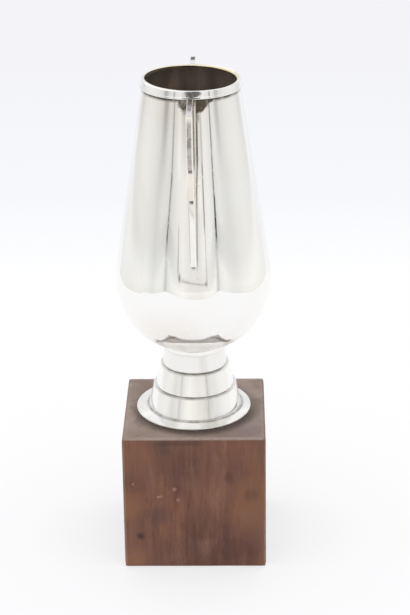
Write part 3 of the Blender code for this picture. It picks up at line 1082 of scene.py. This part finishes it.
def strapLooks(low, high, reach):
    # Dark spots under both steps, painted dark reflections on the top and outer face, painted shade down
    # one side, at the root and on the inner face, partly tarnished, and darker ends
    inside = reach - strap["thick"]
    upper, lower = strapSteps(high)

    def looks(finish, place, x, y, z):
        out = abs(x)
        y = y - (strap["leanStart"] - z).most(0.0) * x.ease(0.0, 0.01) * strap["lean"]
        core = abs(y).ease(0.0013, 0.0008)
        spots = highest(
            z.ease(step - 0.0038, step - 0.0028) * z.ease(step - 0.0012, step - 0.002)
            for step in (upper, lower)
        )
        spots = spots * abs(y).ease(0.0011, 0.0008) * strap["spots"]
        # A painted dark reflection on the top of each arm
        top = z.ease(high - 0.0006, high - 0.0002) * core
        top = top * out.ease(0.031, 0.037, 0.74, 0.54) * x.ease(0.04, 0.0465, 1.0, 0.25)
        top = top * x.ease(-0.0385, -0.03).most(x.ease(-0.0418, -0.0445) * 1.5)
        # A painted dark reflection on the outer face of the upper run
        brushed = finish.cloud(finish.mapped(place, scale=(1, 1, 0.2)), 300, 2)
        face = out.ease(reach - 0.0004, reach - 0.0001) * z.ease(high - 0.0005, high - 0.0065)
        face = face * core * z.ease(upper + 0.001, upper + 0.008, 0.6, 1.0)
        face = face * brushed.ease(0.3, 0.7, 0.46, 0.6)
        # Painted shade along the left edge
        line = y.near(-0.0014, 0.0005) * z.ease(0.208, 0.198)
        line = line * z.ease(low, low + 0.004) * strap["line"]
        # Painted shade, partly tarnished, where the arm meets the band
        root = out.ease(0.0258, 0.0243) * strap["root"]
        end = z.ease(low + 0.0006, low) * strap["end"]
        # Painted shade, partly tarnished, on the inner face of the upper run
        inner = out.ease(inside + 0.0005, inside + 0.0001) * z.ease(upper, upper + 0.003)
        inner = inner * z.ease(high - 0.0015, high - 0.003) * strap["inner"]
        worn = finish.cloud(place, 120, 3).ease(0.3, 0.7, 0.2, 0.5)
        return {"tarnish": highest([spots, top, face, line, root, end, inner]), "haze": core * worn}
    return looks


def makeHandle(name, node, side):
    low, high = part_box(node)
    reach = max(abs(low.x), abs(high.x))
    piece = drawLine(name, strapOutline(low.z, high.z, reach))
    takeAll()
    bpy.ops.mesh.edge_face_add()
    bpy.ops.transform.translate(value=(0.0, -strap["width"] / 2, 0.0))
    extrude((0.0, strap["width"], 0.0))
    takeAll()
    if side < 0:
        bpy.ops.transform.resize(value=(-1, 1, 1), center_override=(0, 0, 0))
    bpy.ops.mesh.normals_make_consistent(inside=False)
    bpy.ops.mesh.bevel(offset=strap["round"], segments=3, affect="EDGES")
    editing(False)
    if side > 0:
        for vertex in piece.data.vertices:
            vertex.co.y += strap["lean"] * max(0.0, strap["leanStart"] - vertex.co.z)
    dressPiece(piece, silverFinish(name + "Finish", strapLooks(low.z, high.z, reach)), node, degrees=50)
    print(name, "done")


# Wooden block

# Each side's distance from the middle, at the top and at the foot: hand-sawn, no two are quite the same.
block = {
    "front": (0.035, 0.0356),
    "back": (0.036, 0.0358),
    "left": (0.0356, 0.0356),
    "right": (0.0352, 0.0355),
    "edge": 0.0008,
    "cells": 34,
    "wear": 0.00044,
    "wearPerMetre": 55,
    "wearStart": (3.1, 0.4, 7.7),
    "boreRadius": 0.0028,
    "recessRadius": 0.011,
    "recessDepth": 0.014,
    "cutPast": 0.002,
}


def blockSides(middle, share):
    # Where the four sides stand, at a share of the height
    pairs = [block[side] for side in ("back", "front", "left", "right")]
    back, front, left, right = [low + (high - low) * share for high, low in pairs]
    return middle - back, middle + front, -left, right


def roundEdges(piece, middle, height):
    # Each vertex is drawn on to a round-edged box, with more taken off where hands have worn it.
    for vertex in piece.data.vertices:
        place = vertex.co.copy()
        back, front, left, right = blockSides(middle, place.z / height)
        worn = 0.5 + 0.5 * noise.noise(place * block["wearPerMetre"] + Vector(block["wearStart"]))
        radius = block["edge"] + block["wear"] * worn
        core = Vector((
            max(back + radius, min(front - radius, place.x)),
            max(left + radius, min(right - radius, place.y)),
            max(radius, min(height - radius, place.z)),
        ))
        outward = place - core
        if outward.length > 1e-7:
            vertex.co = core + outward.normalized() * radius


def boreBlock(piece, height):
    # One hole for the stud, with the nut's recess at its foot
    bore, recess, depth = block["boreRadius"], block["recessRadius"], block["recessDepth"]
    top, bottom = height + block["cutPast"], -block["cutPast"]
    outline = [(0.0, top), (bore, top), (bore, depth), (recess, depth), (recess, bottom), (0.0, bottom)]
    cutter = spunPiece("recessCutter", outline, closed=False, steps=48)
    choose(piece)
    hole = piece.modifiers.new("Stud hole", "BOOLEAN")
    hole.operation = "DIFFERENCE"
    hole.object = cutter
    bpy.ops.object.modifier_apply(modifier="Stud hole")
    bpy.data.objects.remove(cutter, do_unlink=True)


def makeBlock():
    low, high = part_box("plinth_block")
    middle = (low.x + high.x) / 2
    height = high.z
    choose()
    bpy.ops.mesh.primitive_cube_add(size=1.0, location=(middle, 0.0, height / 2), scale=(1.0, 1.0, height))
    piece = bpy.context.object
    piece.name = "woodBlock"
    bpy.ops.object.transform_apply(location=True, rotation=False, scale=True)
    for vertex in piece.data.vertices:
        back, front, left, right = blockSides(middle, vertex.co.z / height)
        vertex.co.x = front if vertex.co.x > middle else back
        vertex.co.y = right if vertex.co.y > 0.0 else left
    editing(True)
    takeAll()
    bpy.ops.mesh.subdivide(number_cuts=block["cells"])
    editing(False)
    roundEdges(piece, middle, height)
    boreBlock(piece, height)
    dressPiece(piece, woodFinish(middle, height), "plinth_block", "plinth_wood")
    print("block:", len(piece.data.polygons), "faces")


wood = {
    "tones": [
        (0.3, (0.09, 0.038, 0.026)), (0.46, (0.138, 0.058, 0.037)),
        (0.58, (0.178, 0.08, 0.05)), (0.72, (0.24, 0.12, 0.07)),
    ],
    "grey": (0.15, 0.085, 0.072),
    "pores": (0.06, 0.028, 0.021),
    "smudge": (0.07, 0.04, 0.032),
    "dustAndSheen": (0.268, 0.206, 0.169),
    "paleDustAndSheen": (0.385, 0.313, 0.268),
    "lilacDustAndSheen": (0.3, 0.245, 0.24),
    "brownDust": (0.2, 0.14, 0.105),
    "shade": (0.06, 0.04, 0.03),
    "shadeCentre": (0.0022, 0.0001),
    "shadeReach": (0.035, 0.0285),
    "worn": (0.42, 0.34, 0.3),
    "specks": (0.38, 0.25, 0.2),
    "grainDepth": 0.0001,
}

# Marks on the front of the block: across, height, reach, strength and colour
woodMarks = [
    (-0.01, 0.056, 0.015, 0.5, (0.092, 0.042, 0.033)),
    (0.03, 0.04, 0.02, 0.6, (0.215, 0.1, 0.052)),
    (0.009, 0.048, 0.011, 0.4, (0.19, 0.075, 0.05)),
    (0.02, 0.008, 0.015, 0.6, (0.088, 0.04, 0.032)),
    (-0.031, 0.005, 0.012, 0.65, (0.24, 0.11, 0.06)),
    (-0.035, 0.036, 0.013, 0.6, (0.235, 0.105, 0.056)),
    (-0.0195, 0.029, 0.008, 0.55, (0.095, 0.05, 0.045)),
    (-0.015, 0.0675, 0.008, 0.6, (0.08, 0.048, 0.04)),
    (-0.0277, 0.0178, 0.0032, 0.75, (0.04, 0.022, 0.018)),
    (0.016, 0.05, 0.005, 0.55, (0.075, 0.035, 0.028)),
    (0.0276, 0.0407, 0.0045, 0.4, (0.08, 0.04, 0.03)),
    (-0.0306, 0.047, 0.0011, 0.55, (0.36, 0.2, 0.16)),
    (-0.0102, 0.044, 0.0011, 0.55, (0.36, 0.2, 0.16)),
    (-0.0167, 0.04, 0.0011, 0.55, (0.36, 0.2, 0.16)),
    (-0.0082, 0.038, 0.0011, 0.5, (0.36, 0.2, 0.16)),
    (0.003, 0.006, 0.02, 0.55, (0.076, 0.034, 0.027)),
    (0.005, 0.024, 0.016, 0.35, (0.08, 0.036, 0.029)),
    (0.007, 0.055, 0.018, 0.25, (0.085, 0.038, 0.03)),
    (-0.0307, 0.0605, 0.016, 0.35, (0.24, 0.115, 0.07)),
    (0.0295, 0.064, 0.013, 0.35, (0.23, 0.11, 0.07)),
    (0.03, 0.025, 0.014, 0.3, (0.22, 0.105, 0.065)),
]


def woodFinish(middle, height):
    finish = Finish("brownWood", specular=0.2)
    place = finish.place()
    x, y, z = finish.axes(place)
    half = block["front"][0]
    grain = finish.mapped(place, scale=(1, 1, 0.13), turn=(1.5, 1.0, 0))
    fine = finish.cloud(grain, 900, 4, 0.65)
    streak = finish.cloud(grain, 260, 4, 0.6, 0.4)
    wide = finish.cloud(finish.mapped(place, scale=(1, 1, 0.35)), 45, 3, 0.6, 0.6)
    blotch = finish.cloud(place, 60, 4, 0.6, 0.5)
    colour = finish.ramp(wide * 0.5 + streak * 0.5, wood["tones"])
    colour = finish.mixed(blotch.ease(0.42, 0.72) * 0.4, colour, wood["grey"])
    colour = finish.mixed(fine.ease(0.42, 0.3) * 0.45, colour, wood["pores"])
    front = x.ease(middle + half - 0.004, middle + half - 0.001)
    for across, level, reach, strength, tone in woodMarks:
        gap = finish.distance(place, (middle + half, across, level))
        edge = (blotch - 0.5) * (reach * 1.8) + (streak - 0.5) * (reach * 1.2)
        mark = (gap + edge).ease(reach, reach * 0.2) * front * strength
        colour = finish.mixed(mark, colour, tone)
    smudge = z.near(height - 0.002, 0.0022) * abs(y + 0.0075).ease(0.015, 0.009)
    colour = finish.mixed(smudge * front * 0.5, colour, wood["smudge"])

    # Dust and painted sheen on the top, and a painted shadow round the foot
    top = z.ease(height - 0.0005, height - 0.0001)
    pale = blotch.ease(0.38, 0.62)
    dustAndSheen = finish.mixed(pale, wood["dustAndSheen"], wood["paleDustAndSheen"])
    lilac = y.ease(0.0, 0.022) * x.ease(0.0, 0.02)
    dustAndSheen = finish.mixed(lilac * 0.6, dustAndSheen, wood["lilacDustAndSheen"])
    dustAndSheen = finish.mixed(x.ease(0.018, 0.034) * 0.22, dustAndSheen, wood["brownDust"])
    colour = finish.mixed(top * 0.8, colour, dustAndSheen)
    # A painted shadow on the top round the cup's foot, deeper towards the front
    ringX, ringY = [axis - centre for axis, centre in zip((x, y), wood["shadeCentre"])]
    shade = acrossOf(ringX, ringY).ease(*wood["shadeReach"]) * x.ease(-0.012, 0.02, 0.4, 1.0)
    colour = finish.mixed(top * shade * 0.85, colour, wood["shade"])

    # Rubbed corners and edges with a painted highlight along the top of the front edge, and pale specks
    edgeX = abs(x - middle).ease(half - 0.001, half - 0.0001)
    edgeY = abs(y).ease(half - 0.001, half - 0.0001)
    bandMask = (x - middle).ease(half - 0.0036, half - 0.0018)
    bandMask = bandMask.most(abs(x - middle).most(abs(y)).ease(half - 0.0026, half - 0.001) * 0.4)
    worn = (edgeX * edgeY * 0.5).most(bandMask * top)
    chips = finish.cloud(place, 210, 4, 0.65).ease(0.42, 0.6)
    colour = finish.mixed(worn * (0.35 + chips * 0.25), colour, wood["worn"])
    speck = finish.node("ShaderNodeTexVoronoi", None, {"Vector": place, "Scale": 95.0, "Randomness": 1.0})
    dots = speck.ease(0.085, 0.05) * finish.cloud(place, 22, 1).ease(0.56, 0.6)
    colour = finish.mixed(dots * 0.6, colour, wood["specks"])
    roughness = 0.4 + streak * 0.18 + top * 0.12 + worn * 0.1
    relief = finish.bump(fine * 0.4 + streak * 0.6, wood["grainDepth"], 0.5)
    return finish.shade(colour=colour, roughness=roughness, normal=relief)


# Fixing through the block: plate, stud, washer and nut keep their shapes

fixing = {
    "dullSteel": {"bright": (0.56, 0.55, 0.53), "dull": (0.36, 0.34, 0.32), "roughness": 0.3},
    "dullBrass": {"bright": (0.72, 0.56, 0.3), "dull": (0.48, 0.35, 0.18), "roughness": 0.32},
}


def metalFinish(name):
    metal = fixing[name]
    finish = Finish(name, metallic=1.0)
    place = finish.place()
    stain = finish.cloud(place, 300, 4, 0.6).ease(0.35, 0.7)
    rings = finish.cloud(finish.mapped(place, scale=(1, 1, 9)), 500, 2)
    colour = finish.mixed(stain, metal["bright"], metal["dull"])
    normal = finish.bump(rings, 0.00003, 0.4)
    return finish.shade(colour=colour, roughness=metal["roughness"] + stain * 0.2, normal=normal)


def finishFixing():
    steel = metalFinish("dullSteel")
    for node in ("clamp_stud", "washer", "clamp_nut"):
        wear(frame["nodes"][node], steel)
    wear(frame["nodes"]["bearer_plate"], metalFinish("dullBrass"))
    print("fixing finished")


makeCup()
makeRimBand()
makeFoot()
makeNeck()
makeHandle("rightHandleStrap", "right_handle", 1)
makeHandle("leftHandleStrap", "left_handle", -1)
makeBlock()
finishFixing()

bpy.context.scene.view_settings.view_transform = "Standard"
